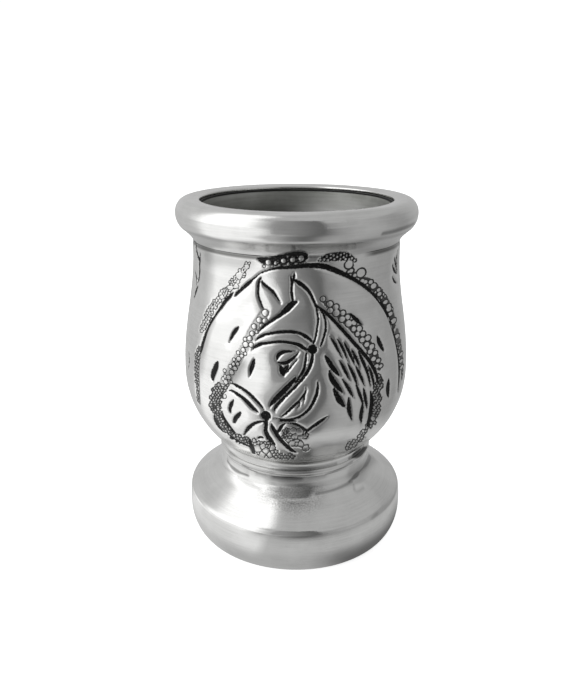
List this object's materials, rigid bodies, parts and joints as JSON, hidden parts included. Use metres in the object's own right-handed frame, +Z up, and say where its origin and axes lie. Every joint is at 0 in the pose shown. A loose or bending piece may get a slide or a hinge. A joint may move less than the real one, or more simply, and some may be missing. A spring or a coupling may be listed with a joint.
{
  "type": "mate cup",
  "caption": "Footed drinking cup for mate: turned wooden core clad in spun aluminium, with a rolled rim, a beaded waist ring, a domed foot and a tapered metal inner cup.",
  "frame": {"origin": "centre of the foot, on the surface that the cup stands on", "axes": "+Z up along the turning axis, -Y towards the front with the chased ornament"},
  "size_m": [0.07, 0.07, 0.1062],
  "materials": {
    "turned_wood": "turned, bare, dark hardwood",
    "dull_aluminium": "spun, dull from use",
    "black_seal": "matt black",
    "satin_aluminium": "spun and brushed satin",
    "chased_aluminium": "brushed satin, chased lines blackened"
  },
  "bodies": {
    "root": {"wood_core": "turned_wood", "inner_cup": "dull_aluminium", "rim_seal": "black_seal", "rim_ring": "satin_aluminium", "body_shell": "chased_aluminium", "waist_ring": "satin_aluminium", "foot_shell": "satin_aluminium"}
  },
  "joints": []
}
